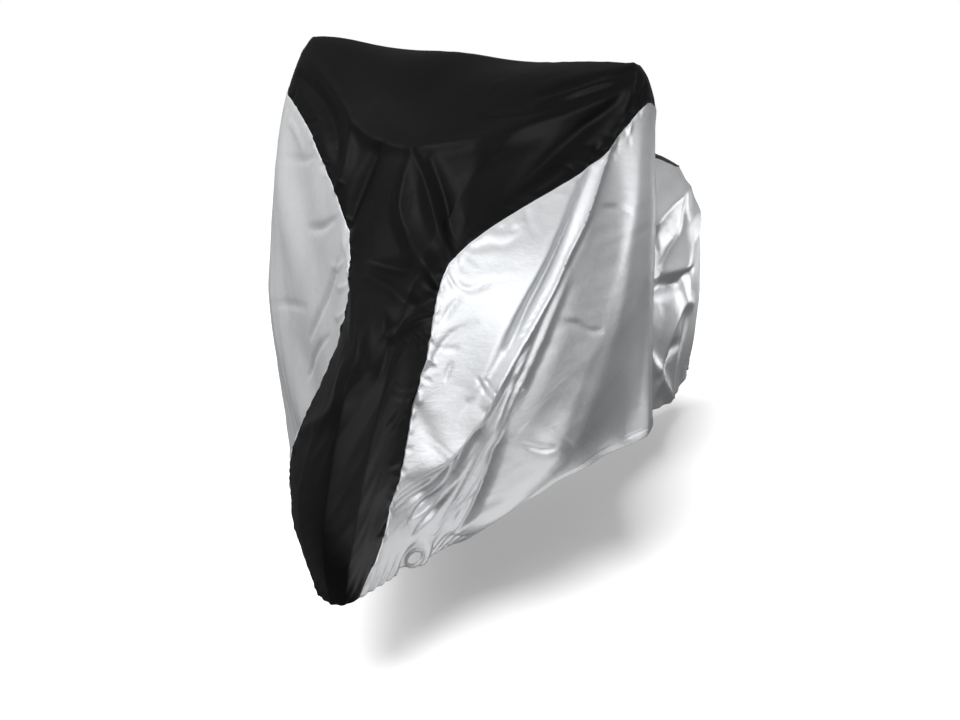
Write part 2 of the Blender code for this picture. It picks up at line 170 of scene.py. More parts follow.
# %%
FACETS = (
    # left panel: the billow's crest
    ((318, 200, 880, 0, 40, 20), (307, 169, 841, 12, 80, 25), (289, 107, 739, 30, 130, 90),
     (268, 48, 663, 40, 180, 130), (248, -5, 592, 42, 210, 145), (232, -34, 533, 42, 240, 140),
     (214, -50, 440, 42, 250, 150), (196, -95, 376, 38, 120, 140), (186, -142, 364, 28, 60, 120),
     (181, -204, 353, 9, 40, 60)),
    # left panel: the crest in front of the grip's own flat stretch
    ((351, 265, 919, 0, 60, 60), (349, 249, 772, 14, 90, 90), (342, 232, 697, 20, 95, 130),
     (333, 212, 602, 28, 90, 200), (313, 174, 501, 36, 130, 240), (297, 154, 435, 38, 150, 250),
     (271, 130, 357, 36, 150, 250), (246, 113, 303, 30, 130, 200), (198, 56, 242, 18, 80, 120),
     (161, -11, 207, 4, 40, 60)),
)
BROAD_FOLDS = (
    # through, height, left width, right width, soft
    # black panel: the sag of the top between the stem and each grip
    (((100, 170, 1040), (190, 225, 1025), (290, 262, 1015)), -14, 80, 80, 0.5),
    (((-30, 200, 1050), (-120, 150, 1065), (-200, 120, 1070)), -12, 80, 80, 0.5),
    # left panel behind the grip: folds that spread down from the saddle's corner
    (((178, 974, 770), (190, 940, 620), (205, 870, 470), (205, 800, 330)), 16, 70, 70, 0.2),
    (((182, 990, 740), (190, 1010, 560), (170, 1040, 380), (140, 1060, 240)), -14, 60, 60, 0.2),
    (((150, 1140, 740), (150, 1110, 560), (150, 1060, 420), (160, 960, 280)), 14, 60, 60, 0.2),
    (((345, 370, 900), (290, 480, 700), (240, 600, 520), (215, 700, 330)), -18, 90, 90, 0.3),
    (((300, 430, 880), (240, 560, 780), (190, 740, 700)), 14, 80, 80, 0.3),
    # right panel: folds that run down from the right grip
    (((-285, 40, 950), (-260, 0, 800), (-200, -60, 620), (-120, -110, 430), (-60, -130, 280)),
     14, 75, 75, 0.2),
    (((-240, 0, 880), (-190, -50, 740), (-120, -100, 600), (-60, -150, 450)), -12, 60, 60, 0.2),
    (((-310, 20, 800), (-300, 0, 600), (-260, 0, 400), (-200, 10, 230)), 13, 80, 80, 0.3),
    (((-250, -10, 560), (-200, -30, 420), (-130, -20, 240)), -11, 60, 60, 0.2),
    # right panel behind the grip
    (((-290, 110, 900), (-220, 280, 700), (-160, 440, 520), (-150, 560, 330)), -18, 90, 90, 0.3),
    (((-260, 130, 930), (-150, 400, 820), (-60, 700, 760)), 13, 80, 80, 0.3),
    (((-34, 980, 790), (-60, 930, 620), (-75, 850, 450), (-82, 780, 300)), 15, 70, 70, 0.2),
    (((-34, 1000, 770), (-62, 1040, 560), (-66, 1080, 360)), -13, 60, 60, 0.2),
)
print(len(FACETS), "crests,", len(BROAD_FOLDS), "broad folds")

# %% [markdown]
# The folds that face the camera. Each runs through places of its view, and its height and widths
# are real millimetres. The cloth hangs in long pleats from the bar end, fans out where elastic
# draws in the hem, and keeps short creases from the way it was packed.

# %%
SEEN_FOLDS = (
    # through, height, left width, right width, soft
    # left panel: the billow beside the dark panel, and the pleats down from the grip
    (((592, 163), (564, 225), (535, 273), (507, 319), (489, 357), (470, 392)), 8, 26, 120, 0.15),
    (((600, 148), (577, 207), (557, 258), (533, 307), (510, 350)), -20, 20, 28, 0.03),
    (((624, 117), (603, 162), (586, 208), (563, 258), (539, 308), (515, 350), (498, 380),
      (485, 404)), 16, 22, 22, 0.03),
    (((590, 222), (566, 272), (542, 320), (518, 360), (492, 405), (478, 432)), -4, 18, 10, 0.1),
    (((562, 262), (548, 300), (536, 330), (524, 356), (506, 400), (488, 440), (466, 480), (446, 512),
      (434, 533)), 5, 9, 9, 0.05),
    (((571, 268), (556, 306), (543, 336), (531, 362), (513, 404), (496, 450), (474, 490),
      (453, 522)), 4, 9, 9, 0.05),
    (((570, 290), (547, 350), (524, 400), (508, 435), (489, 465), (462, 506), (445, 524)), -5, 40, 22, 0.1),
    (((642, 130), (638, 185), (628, 245), (613, 299), (604, 334), (592, 357), (578, 394),
      (560, 432)), 2, 50, 60, 0.08),
    (((560, 437), (546, 454), (520, 479), (487, 514), (468, 531)), 22, 80, 90, 0.3),
    (((512, 368), (489, 408), (469, 434), (449, 457), (426, 472), (398, 492)), 9, 15, 90, 0.1),
    (((514, 378), (494, 412), (475, 440), (455, 463), (430, 480), (396, 502)), -8, 28, 14, 0.1),
    # left panel: narrow pleats that fan out to the drawn-in front hem
    (((448, 472), (424, 492), (395, 512)), -7, 12, 12, 0.1),
    (((480, 425), (466, 454), (443, 489), (409, 522)), -10, 15, 15, 0.1),
    (((458, 482), (432, 512), (414, 532)), -6, 11, 11, 0.1),
    (((522, 392), (506, 430), (490, 470), (473, 502), (457, 528)), -9, 16, 16, 0.1),
    (((452, 480), (428, 506), (397, 531)), 6, 11, 11, 0.1),
    # left panel: short cross creases left from the way it was packed
    (((600, 207), (615, 208), (630, 212)), -4, 8, 10, 0.1),
    (((562, 322), (578, 324), (590, 331), (602, 331)), -5, 8, 10, 0.1),
    (((523, 443), (538, 446), (551, 443)), -3.3, 9, 12, 0.1),
    # left panel: puckers that start at the seam
    (((472, 250), (489, 244), (503, 245), (521, 235)), -2.5, 12, 14, 0.1),
    (((466, 254), (474, 260), (481, 266)), -2, 8, 8, 0.1),
    (((459, 261), (465, 268), (468, 274)), -1.5, 6, 6, 0.1),
    (((456, 281), (463, 287), (472, 289), (481, 285), (489, 280)), -3, 9, 12, 0.1),
    (((460, 296), (451, 308), (443, 322)), -2.5, 9, 9, 0.1),
    (((535, 199), (542, 203), (548, 210)), -1.5, 7, 7, 0.1),
    (((505, 229), (514, 224), (523, 221)), 1.5, 8, 8, 0.1),
    (((523, 226), (530, 230), (536, 238)), -1.5, 6, 6, 0.1),
    (((475, 322), (449, 337), (429, 368)), -2.5, 12, 12, 0.1),
    (((459, 347), (450, 349), (440, 349)), -2, 7, 7, 0.1),
    (((476, 377), (482, 388), (488, 398)), -2, 7, 7, 0.1),
    (((484, 378), (489, 386), (494, 395)), -1.5, 5, 5, 0.1),
    (((452, 362), (448, 371), (445, 381)), -2, 7, 7, 0.1),
    (((437, 365), (427, 372), (417, 382)), -2.5, 9, 9, 0.1),
    (((424, 385), (415, 397), (409, 410)), -2, 9, 9, 0.1),
    # dark panel: the brow where the cloth leaves the bar, and the facets below it
    (((413, 150), (480, 139), (557, 118), (600, 101), (622, 90)), 8, 45, 28, 0.1),
    (((413, 150), (390, 145), (363, 132), (342, 102), (320, 72), (303, 58)), 8, 26, 55, 0.1),
    (((300, 75), (322, 100), (335, 130), (338, 158)), -10, 28, 30, 0.15),
    (((380, 147), (365, 178), (352, 212), (346, 238)), -10, 30, 26, 0.1),
    (((352, 122), (347, 160), (338, 190)), 6, 22, 24, 0.1),
    (((412, 153), (404, 190), (403, 215), (413, 245), (430, 275), (438, 288)), 11, 34, 26, 0.1),
    (((414, 153), (427, 185), (437, 220), (443, 240), (451, 257)), 9, 18, 30, 0.05),
    (((430, 157), (441, 190), (449, 225), (454, 248)), -9, 28, 20, 0.1),
    (((478, 148), (474, 190), (464, 230)), 5, 34, 34, 0.3),
    (((614, 106), (573, 139), (540, 170), (511, 197)), -10, 26, 30, 0.1),
    (((580, 153), (545, 180), (513, 203)), 5, 12, 16, 0.1),
    (((633, 71), (573, 84), (538, 96)), -6, 20, 20, 0.1),
    (((612, 86), (590, 94), (540, 109), (487, 117)), -6, 18, 18, 0.1),
    (((620, 78), (575, 91), (535, 103)), 4, 14, 14, 0.1),
    (((634, 60), (631, 80), (627, 98), (623, 110)), 8, 12, 18, 0.3),
    (((645, 84), (641, 98), (638, 106)), -4, 14, 12, 0.3),
    (((372, 262), (400, 267), (432, 290)), -8, 24, 24, 0.15),
    (((365, 276), (390, 288), (412, 306), (438, 298)), 6, 20, 26, 0.1),
    (((384, 341), (407, 328), (430, 318)), -8, 16, 18, 0.1),
    (((384, 316), (386, 345), (379, 376)), 6, 18, 26, 0.1),
    (((360, 296), (358, 330), (360, 366)), 5, 22, 20, 0.15),
    (((342, 367), (335, 409), (301, 432)), 7, 30, 36, 0.1),
    (((344, 245), (352, 290), (350, 340)), 5, 22, 16, 0.15),
    # dark panel: puckers at its seams
    (((407, 338), (411, 345), (415, 351)), 4, 6, 6, 0.1),
    (((413, 335), (418, 342), (421, 348)), 4, 6, 6, 0.1),
    (((419, 332), (423, 338), (427, 343)), 3, 5, 5, 0.1),
    (((393, 392), (398, 397), (404, 399)), 4, 6, 6, 0.1),
    (((396, 383), (402, 388), (408, 389)), 3, 5, 5, 0.1),
    (((387, 427), (393, 419), (400, 411)), 4, 6, 6, 0.1),
    (((391, 433), (396, 427), (400, 420)), 3, 5, 5, 0.1),
    (((345, 262), (338, 268), (331, 266)), 4, 8, 8, 0.1),
    (((349, 284), (341, 289), (336, 287)), 4, 8, 8, 0.1),
    (((345, 312), (339, 318), (334, 316)), 4, 8, 8, 0.1),
    (((456, 243), (450, 236), (447, 228)), 3, 6, 6, 0.1),
    (((470, 232), (466, 224), (464, 216)), 3, 6, 6, 0.1),
    # right panel: creases
    (((277, 303), (294, 304), (311, 308)), -4, 9, 9, 0.1),
    (((306, 228), (321, 228), (335, 219)), -6, 12, 14, 0.1),
    (((338, 262), (330, 288), (320, 316), (311, 338)), -7, 14, 16, 0.1),
    (((280, 156), (300, 160), (318, 157)), -4, 9, 9, 0.1),
    (((290, 120), (297, 135), (302, 152)), 4, 12, 12, 0.1),
    (((330, 335), (318, 350), (306, 378)), -5, 12, 12, 0.1),
)
TAIL_FOLDS = (
    # the same, then millimetres that it runs on before its first place and after its last
    # left panel behind the grip: facets that hang from the saddle and spread to the hem
    (((688, 187), (674, 200), (661, 213)), 18, 60, 60, 0.1, 0, 90),
    (((691, 192), (694, 228), (686, 254), (674, 266)), 16, 60, 70, 0.1, 0, 40),
    (((683, 200), (685, 225), (673, 252)), -18, 60, 60, 0.1, 0, 120),
    (((662, 272), (675, 267), (688, 262)), 10, 22, 30, 0.1, 150, 0),
    (((664, 286), (680, 281), (694, 268)), -14, 34, 40, 0.1, 70, 0),
    (((693, 304), (678, 306), (665, 330), (659, 358)), 20, 60, 70, 0.05, 0, 110),
    (((689, 312), (683, 338), (679, 358)), -12, 50, 50, 0.1, 0, 0),
    (((660, 366), (668, 352), (679, 342)), -14, 36, 40, 0.1, 60, 0),
    (((658, 378), (664, 388), (671, 398)), 18, 44, 50, 0.1, 170, 0),
)
print(len(SEEN_FOLDS) + len(TAIL_FOLDS), "folds that face the camera")

# %% [markdown]
# The folds that face away from it. They run through points near the cloth, as the broad ones do.

# %%
FAR_FOLDS = (
    # left panel behind the grip: long soft folds from the grip and the saddle down to the hem
    (((340, 350, 900), (290, 440, 680), (250, 520, 470), (228, 600, 320)), 10, 36, 54, 0.1),
    (((330, 360, 800), (270, 520, 640), (225, 660, 520)), -9, 34, 46, 0.1),
    (((240, 560, 830), (225, 640, 640), (212, 700, 440), (200, 740, 280)), 9, 34, 46, 0.1),
    (((205, 700, 830), (205, 760, 680), (200, 800, 560)), -8, 26, 36, 0.1),
    (((262, 470, 560), (255, 500, 552), (246, 535, 560)), -5, 9, 10, 0.1),
    (((232, 640, 420), (226, 680, 414), (222, 715, 424)), -5, 9, 10, 0.1),
    # right panel behind the grip: the same
    (((-280, 120, 880), (-240, 260, 640), (-190, 400, 420), (-165, 520, 280)), 11, 40, 60, 0.1),
    (((-270, 140, 960), (-200, 330, 840), (-130, 520, 780)), -8, 35, 50, 0.1),
    (((-255, 150, 760), (-190, 380, 560), (-150, 560, 420), (-120, 700, 330)), -10, 40, 50, 0.1),
    (((-90, 640, 800), (-110, 560, 620), (-135, 500, 420), (-150, 440, 260)), 10, 36, 50, 0.1),
    (((-50, 860, 770), (-75, 760, 600), (-95, 690, 420), (-110, 640, 280)), 10, 34, 44, 0.1),
    (((-40, 960, 700), (-66, 880, 520), (-78, 820, 380)), -9, 26, 34, 0.1),
    (((-34, 1010, 740), (-62, 1090, 560), (-60, 1150, 380), (-50, 1190, 240)), 9, 30, 40, 0.1),
    (((-40, 1150, 700), (-52, 1180, 560), (-48, 1230, 420)), -7, 20, 26, 0.1),
    (((-180, 420, 620), (-168, 470, 612), (-158, 510, 622)), -5, 9, 10, 0.1),
    (((-120, 700, 520), (-112, 750, 510), (-105, 790, 518)), -5, 9, 10, 0.1),
)
print(len(FAR_FOLDS), "folds that face away")


# %% [markdown]
# A smooth line through a row of points is a centripetal Catmull-Rom curve, drawn part of the way
# back to the straight chords, because stretched cloth is straighter than a free curve.

# %%
def spline(points, places, tight):
    """Points on the curve at places, where place 2.5 is halfway between points 2 and 3."""
    points = np.asarray(points, float)
    chain = np.concatenate([[2 * points[0] - points[1]], points, [2 * points[-1] - points[-2]]])
    out = np.empty((len(places), 3))
    for k in range(len(points) - 1):
        here = (places >= k) & (places <= k + 1)
        share = (places[here] - k)[:, None]
        p0, p1, p2, p3 = chain[k:k + 4]
        t1 = math.sqrt(max(np.linalg.norm(p1 - p0), 1e-9))
        t2 = t1 + math.sqrt(max(np.linalg.norm(p2 - p1), 1e-9))
        t3 = t2 + math.sqrt(max(np.linalg.norm(p3 - p2), 1e-9))
        t = t1 + (t2 - t1) * share
        a1 = p0 + (p1 - p0) * t / t1
        a2 = p1 + (p2 - p1) * (t - t1) / (t2 - t1)
        a3 = p2 + (p3 - p2) * (t - t2) / (t3 - t2)
        b1 = a1 + (a2 - a1) * t / t2
        b2 = a2 + (a3 - a2) * (t - t1) / (t3 - t1)
        curve = b1 + (b2 - b1) * (t - t1) / (t2 - t1)
        out[here] = curve + (p1 + (p2 - p1) * share - curve) * tight
    return out


def even(counts, fine):
    """Places of all lines, so many times finer than counts in each span."""
    parts = [k + np.arange(count * finer) / (count * finer)
             for k, (count, finer) in enumerate(zip(counts, fine))]
    return np.concatenate(parts + [[float(len(counts))]])


def crowded(places, span, length, marks, from_end):
    """Places with those nearest one end of a span moved to set distances from it."""
    here = np.flatnonzero((places >= span) & (places <= span + 1))
    share = np.linspace(0.0, 1.0, len(here))
    near = np.array(marks) / max(length, LEAST_SPAN)
    last = len(marks) - 1
    rest = near[-1] + (1.0 - near[-1]) * (share - share[last]) / (1.0 - share[last])
    moved = np.concatenate([near, rest[last + 1:]])
    out = places.copy()
    out[here] = span + (1.0 - moved[::-1] if from_end else moved)
    return out


def outward(grid):
    """Unit normals of the grid, pointing out of the cover."""
    normal = np.cross(np.gradient(grid, axis=0), np.gradient(grid, axis=1))
    return normal / np.linalg.norm(normal, axis=2, keepdims=True)


def gap(points, k):
    """Distance between two neighbours in a row of points."""
    return float(np.linalg.norm(points[k + 1] - points[k]))


def section_line(row):
    """One line from hem to hem, with its points crowded at the hems and the seams."""
    places = even(STEPS_BETWEEN, FINE_STEPS)
    for span, marks, from_end in ((0, HEM_MARKS, False), (1, SEAM_MARKS, True),
                                  (2, SEAM_MARKS, False), (5, SEAM_MARKS, True),
                                  (6, SEAM_MARKS, False), (7, HEM_MARKS, True)):
        places = crowded(places, span, gap(row, span), marks, from_end)
    return spline(row, places, TIGHT_ACROSS)


def column_line(line):
    """One line from the front hem to the rear hem, with its points crowded at both."""
    places = crowded(even(ROWS_BETWEEN, FINE_ROWS), 0, gap(line, 0), HEM_MARKS, False)
    places = crowded(places, len(line) - 2, gap(line, len(line) - 2), HEM_MARKS, True)
    return spline(line, places, TIGHT_ALONG)


table = np.array(SECTIONS, float) / MILLI
columns = np.stack([column_line(table[:, k]) for k in range(len(COLUMNS))], axis=1)
base = np.array([section_line(row) for row in columns])
LAST_ROW, LAST_STEP = base.shape[0] - 1, base.shape[1] - 1
print("surface", base.shape)

# %% [markdown]
# Lengths along the cloth, measured over the surface. They place the hems, the stitches, the
# gathers and the weave at their real sizes.

# %%
across = np.concatenate([np.zeros((LAST_ROW + 1, 1)),
                         np.cumsum(np.linalg.norm(np.diff(base, axis=1), axis=2), axis=1)], axis=1)
along = np.concatenate([np.zeros((1, LAST_STEP + 1)),
                        np.cumsum(np.linalg.norm(np.diff(base, axis=0), axis=2), axis=0)], axis=0)
SEAMS = (int(np.dot(STEPS_BETWEEN[:2], FINE_STEPS[:2])),
         LAST_STEP - int(np.dot(STEPS_BETWEEN[6:], FINE_STEPS[6:])))
from_left = across
from_right = across[:, -1:] - across
from_side = np.minimum(from_left, from_right)
from_front = along
from_rear = along[-1:] - along
print("girth at the bar", across[:, -1].max().round(2), "length", along[-1].max().round(2))

# %% [markdown]
# The height of a fold. A crest is highest on its line and falls away as cloth does at a crease:
# steep beside the line and flat further off. A facet falls away nearly straight.

# %%
FOLD_STEPS = 8  # short runs in each span of a fold's line
END_SHARE = 0.04  # a fold rises and falls as half a wave, less this share at each end
END_WIDTH = 0.35  # share of its width that a fold keeps where its height is nil
FACET_STEPS = 6  # short runs in each span of a facet's crest
BEND = 0.08  # how much steeper a facet is at its crest than on average
HEM_EASE = 0.09  # the facets die out over this much cloth above the side hems
ROUNDS = 4  # times that the broad forms are softened


def nearest_on(path, spot, facing):
    """How far each spot is from a path, how far along it, and on which side."""
    reach = np.full(len(spot), np.inf)
    place_on = np.zeros(len(spot))
    side = np.zeros(len(spot))
    for k in range(len(path) - 1):
        run = path[k + 1] - path[k]
        place = np.clip((spot - path[k]) @ run / (run @ run), 0.0, 1.0)
        offset = spot - path[k] - place[:, None] * run
        away = np.linalg.norm(offset, axis=1)
        nearer = away < reach
        reach = np.where(nearer, away, reach)
        place_on = np.where(nearer, (k + place) / (len(path) - 1), place_on)
        lean = np.einsum("ij,ij->i", np.cross(facing, run), offset)
        side = np.where(nearer, lean, side)
    return reach, place_on, side


def fold_height(points, normals, folds):
    """How far each point stands out from the plain shape because of the folds."""
    height = np.zeros(len(points))
    for through, rise, left, right, soft in folds:
        left, right = left / MILLI, right / MILLI
        places = np.linspace(0, len(through) - 1, FOLD_STEPS * len(through))
        path = spline(np.array(through) / MILLI, places, 0.0)
        most = max(left, right)
        near = np.all((points > path.min(0) - most) & (points < path.max(0) + most), axis=1)
        reach, place_on, side = nearest_on(path, points[near], normals[near])
        place_in = END_SHARE + (1.0 - 2.0 * END_SHARE) * place_on
        taper = np.sqrt(np.clip(np.sin(math.pi * place_in), 0.0, 1.0))
        width = np.where(side > 0, left, right) * (END_WIDTH + (1.0 - END_WIDTH) * taper)
        rounded = soft * min(left, right)
        q = np.clip((np.sqrt(reach ** 2 + rounded ** 2) - rounded) / width, 0.0, 1.0)
        height[near] += rise / MILLI * (1.0 - q) ** 2 * taper
    return height


def facet_height(points, normals, facets):
    """How far the cloth's broad flat facets stand out, from the crests between them."""
    height = np.zeros(len(points))
    for crest in facets:
        rows = np.array(crest, float) / MILLI
        places = np.linspace(0, len(rows) - 1, FACET_STEPS * len(rows))
        path = spline(rows[:, :3], places, 0.0)
        reach, place_on, side = nearest_on(path, points, normals)
        rise, left, right = (np.interp(place_on * (len(rows) - 1), np.arange(len(rows)), rows[:, k])
                             for k in (3, 4, 5))
        q = np.clip(reach / np.where(side > 0, left, right), 0.0, 1.0)
        height += rise * (1.0 - q) * (1.0 - BEND * q)
    return height


def softened(height, rounds):
    """Height after each point has been averaged with its neighbours so many times."""
    for _ in range(rounds):
        for axis in (0, 1):
            wide = np.pad(height, [(2, 2) if k == axis else (0, 0) for k in (0, 1)], mode="edge")
            count = height.shape[axis]
            height = sum(np.take(wide, np.arange(k, k + count), axis=axis) for k in range(5)) / 5.0
    return height


shape = base.shape[:2]
points = base.reshape(-1, 3)
normals = outward(base).reshape(-1, 3)
off_hem = np.clip(from_side.ravel() / HEM_EASE, 0.0, 1.0)
facets = facet_height(points, normals, FACETS) * off_hem * (2.0 - off_hem)
broad = facets + fold_height(points, normals, BROAD_FOLDS)
print("facets stand out by up to", (facets.max() * MILLI).round(1), "mm")

# %% [markdown]
# Places in the view are carried along the lines of sight to the cloth with its facets on, and
# from there to the plain shape, from which all heights are measured. The far folds' points go to
# the nearest point of the cloth. Both are kept to a millimetre.

# %%
EVERY = 2  # every second row and step is close enough for this
SLACK = 1e-6  # share of a triangle by which a line may pass beside it
faceted = base + softened(facets.reshape(shape), ROUNDS)[..., None] * outward(base)
eye = np.array(CAMERA_PLACE) + np.array(TOP_POINT)


def triangles(grid):
    """First, second and third corners of the two triangles in each square of a grid."""
    a, b, c, d = grid[:-1, :-1], grid[1:, :-1], grid[1:, 1:], grid[:-1, 1:]
    return [np.concatenate([first.reshape(-1, 3), second.reshape(-1, 3)])
            for first, second in ((a, a), (b, c), (c, d))]


shown, plain = faceted[::EVERY, ::EVERY], base[::EVERY, ::EVERY]
corner, second, third = triangles(shown)
plain_corner, plain_second, plain_third = triangles(plain)
edge_a, edge_b = second - corner, third - corner
from_corner = eye - corner
turned = np.cross(from_corner, edge_a)


def seen_at(x, y):
    """Point of the plain shape under what the camera sees at a spot of its view."""
    line = sight_line(x, y)
    lifted = np.cross(line, edge_b)
    with np.errstate(divide="ignore", invalid="ignore"):
        scale = 1.0 / (edge_a * lifted).sum(1)
        u = (from_corner * lifted).sum(1) * scale
        v = (turned @ line) * scale
        away = (edge_b * turned).sum(1) * scale
    met = (u >= -SLACK) & (v >= -SLACK) & (u + v <= 1 + SLACK) & (away > 0) & np.isfinite(away)
    if not met.any():
        offset = shown.reshape(-1, 3) - eye
        beside = offset - (offset @ line)[:, None] * line
        return plain.reshape(-1, 3)[np.linalg.norm(beside, axis=1).argmin()]
    k = np.flatnonzero(met)[away[met].argmin()]
    return plain_corner[k] * (1 - u[k] - v[k]) + plain_second[k] * u[k] + plain_third[k] * v[k]


def nearest_of(cloth, spot):
    """The point of the cloth that is nearest to a spot."""
    return cloth[((cloth - spot) ** 2).sum(1).argmin()]


def run_on(end, before, distance):
    """Point of the cloth that a fold reaches past its end."""
    ahead = (end - before) / np.linalg.norm(end - before)
    return nearest_of(plain.reshape(-1, 3), end + ahead * distance / MILLI)


fine_folds = []
for through, rise, left, right, soft, *onward in SEEN_FOLDS + TAIL_FOLDS:
    before, after = onward or (0, 0)
    path = [seen_at(x, y) for x, y in through]
    first = [run_on(path[0], path[1], before)] if before else []
    last = [run_on(path[-1], path[-2], after)] if after else []
    fine_folds.append((np.round(np.array(first + path + last) * MILLI), rise, left, right, soft))
for through, *form in FAR_FOLDS:
    path = [nearest_of(points * MILLI, np.array(spot)) for spot in through]
    fine_folds.append((np.round(path), *form))
height = softened(broad.reshape(shape), ROUNDS)
height += fold_height(points, normals, fine_folds).reshape(shape)
print("folds stand out from", (height.min() * MILLI).round(1), "to", (height.max() * MILLI).round(1), "mm")

# %% [markdown]
# Small puckers start at both seams, because the thread draws the cloth in as it is sewn. Their
# lines are scattered by one fixed seed.

# %%
PUCKER_SEED = 7
END_ROWS = (14.0, 16.0)  # rows without puckers at the front and at the rear
PUCKER_REACH = (2.5, 8.0)  # grid steps from the seam
PUCKER_DRIFT = (-5.0, 5.0)  # rows that it leans by
PUCKER_WIDTH = (5.0, 9.0)  # millimetres
PUCKER_RISE = (1.2, 2.8)
PUCKER_SPACING = (3.0, 9.0)  # rows from one to the next


def on_surface(row, step):
    """Point of the plain shape between four grid points, in millimetres."""
    row = min(max(row, 0.0), LAST_ROW - 1e-6)
    step = min(max(step, 0.0), LAST_STEP - 1e-6)
    r, s = int(row), int(step)
    fr, fs = row - r, step - s
    return ((base[r, s] * (1 - fr) + base[r + 1, s] * fr) * (1 - fs)
            + (base[r, s + 1] * (1 - fr) + base[r + 1, s + 1] * fr) * fs) * MILLI


chance = np.random.default_rng(PUCKER_SEED)
puckers = []
for seam in SEAMS:
    for inward in (-1, 1):
        row = END_ROWS[0]
        while row < LAST_ROW - END_ROWS[1]:
            reach = chance.uniform(*PUCKER_REACH)
            drift = chance.uniform(*PUCKER_DRIFT)
            line = (on_surface(row, seam + inward * 0.6),
                    on_surface(row + drift * 0.4, seam + inward * reach * 0.5),
                    on_surface(row + drift, seam + inward * reach))
            width = chance.uniform(*PUCKER_WIDTH)
            rise = chance.choice((-1, 1)) * chance.uniform(*PUCKER_RISE)
            puckers.append((line, rise, width, width, 0.2))
            row += chance.uniform(*PUCKER_SPACING)
height += fold_height(points, normals, puckers).reshape(shape)
print(len(puckers), "puckers")

# %% [markdown]
# Elastic gathers the front and rear hems into short pleats that fade out up the cloth. The long
# side hems only wave a little, and the whole cloth is never quite flat.

# %%
WANDER = 0.0030  # height of the cloth's slow unevenness
CRUMPLE = 0.0018  # height of the finer crumpling in parts of it
GATHER_PITCH = 0.021
FRONT_GATHERS = (0.0008, 0.0014, 0.070)  # height on the dark and the silver cloth, and reach
REAR_GATHERS = (0.0032, 0.11)  # height and reach
SIDE_WAVES = (0.0022, 0.11, 0.09)  # height, pitch and reach


def faded(away, reach):
    """1 at an edge, falling smoothly to 0 at reach."""
    q = np.clip(away / reach, 0.0, 1.0)
    return (1.0 - q) ** 2 * (1.0 + 2.0 * q)


def cloth_noise(per_metre_across, per_metre_along, layer):
    """Smooth noise between about -1 and 1 on every point of the cloth."""
    values = [noise.noise(Vector((float(a) * per_metre_across, float(b) * per_metre_along, layer)))
              for a, b in zip(across.ravel(), along.ravel())]
    return np.array(values).reshape(shape)


wander = cloth_noise(9.0, 3.0, 1.7)
crumple = cloth_noise(34.0, 17.0, 5.1)
height += WANDER * wander
height += CRUMPLE * (0.35 - np.abs(crumple)) * np.clip(0.5 + 1.6 * wander, 0.0, 1.0)
phase = across / GATHER_PITCH * math.tau
on_dark = (across - across[:, SEAMS[0], None]) * (across[:, SEAMS[1], None] - across) > 0
dark_rise, silver_rise, reach = FRONT_GATHERS
height += np.where(on_dark, dark_rise, silver_rise) * np.sin(phase + 4.0 * wander) * faded(from_front, reach)
rise, reach = REAR_GATHERS
height += rise * np.sin(phase * 0.9 + 5.0 * wander) * faded(from_rear, reach)
rise, pitch, reach = SIDE_WAVES
height += rise * np.sin(along / pitch * math.tau + 3.0 * wander) * faded(from_side, reach)
surface = base + height[..., None] * outward(base)
print("heights now vary by", (height.std() * MILLI).round(1), "mm about their mean")

# %% [markdown]
# The cloth lies flat under each ring, because the flanges press it together. From here on the
# origin is the point that holds the cover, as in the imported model.

# %%
surface = surface - np.array(TOP_POINT)
for side, centre, normal in EYELETS:
    centre, normal = np.array(centre), np.array(normal)
    offset = surface - centre
    away = offset @ normal
    spread = np.linalg.norm(offset - away[..., None] * normal, axis=2)
    far = np.clip((spread - FLAT_REACH) / FLAT_REACH, 0.0, 1.0)
    share = 1.0 - far * far * (3.0 - 2.0 * far)
    share[np.linalg.norm(offset, axis=2) > 3 * FLAT_REACH] = 0.0
    surface = surface - (share * away)[..., None] * normal
    print(side, "ring lies flat on", int((share > 0.5).sum()), "points")

# %% [markdown]
# The sheet's two faces. At an edge the cloth is turned under for 20 mm, so it is thicker there, and
# dips at 18 mm, where the thread draws it together. At a seam the outer face dips, because both
# panels turn in.

# %%
HEM_PROFILE = ((0.0, -0.0006), (0.0015, 0.0003), (0.005, 0.0006), (0.015, 0.0006),
               (0.018, -0.0001), (0.0194, 0.0004), (0.021, 0.0), (1.0, 0.0))
SEAM_PROFILE = ((0.0, -0.0013), (0.0012, -0.0003), (0.0035, 0.0), (1.0, 0.0))
edge = np.minimum(from_side, np.minimum(from_front, from_rear))
seam_gap = np.minimum(*(np.abs(across - across[:, seam, None]) for seam in SEAMS))
hem_rise = np.interp(edge, *zip(*HEM_PROFILE))
seam_rise = np.interp(seam_gap, *zip(*SEAM_PROFILE))
facing = outward(surface)
outer = surface + facing * (hem_rise + seam_rise)[..., None]
inner = surface - facing * (CLOTH + hem_rise)[..., None]
print("thickest at the hems:", ((CLOTH + 2 * hem_rise.max()) * MILLI).round(1), "mm")


# %% [markdown]
# Finishes. Colours are given as on a colour chart and turned into the renderer's linear values.

# %%
def linear(code):
    """Linear RGBA of a colour given as a hex code."""
    parts = [int(code[k:k + 2], 16) / 255 for k in (0, 2, 4)]
    return (*[c / 12.92 if c <= 0.04045 else ((c + 0.055) / 1.055) ** 2.4 for c in parts], 1.0)


def add(tree, kind, settings=(), **inputs):
    """A node in tree, with its settings, and its inputs set or linked."""
    node = tree.nodes.new(kind)
    for name, value in dict(settings).items():
        setattr(node, name, value)
    for name, value in inputs.items():
        numbered = name.startswith("in") and name[2:].isdigit()
        socket = node.inputs[int(name[2:]) if numbered else name.replace("_", " ")]
        if isinstance(value, bpy.types.NodeSocket):
            tree.links.new(value, socket)
        else:
            socket.default_value = value
    return node


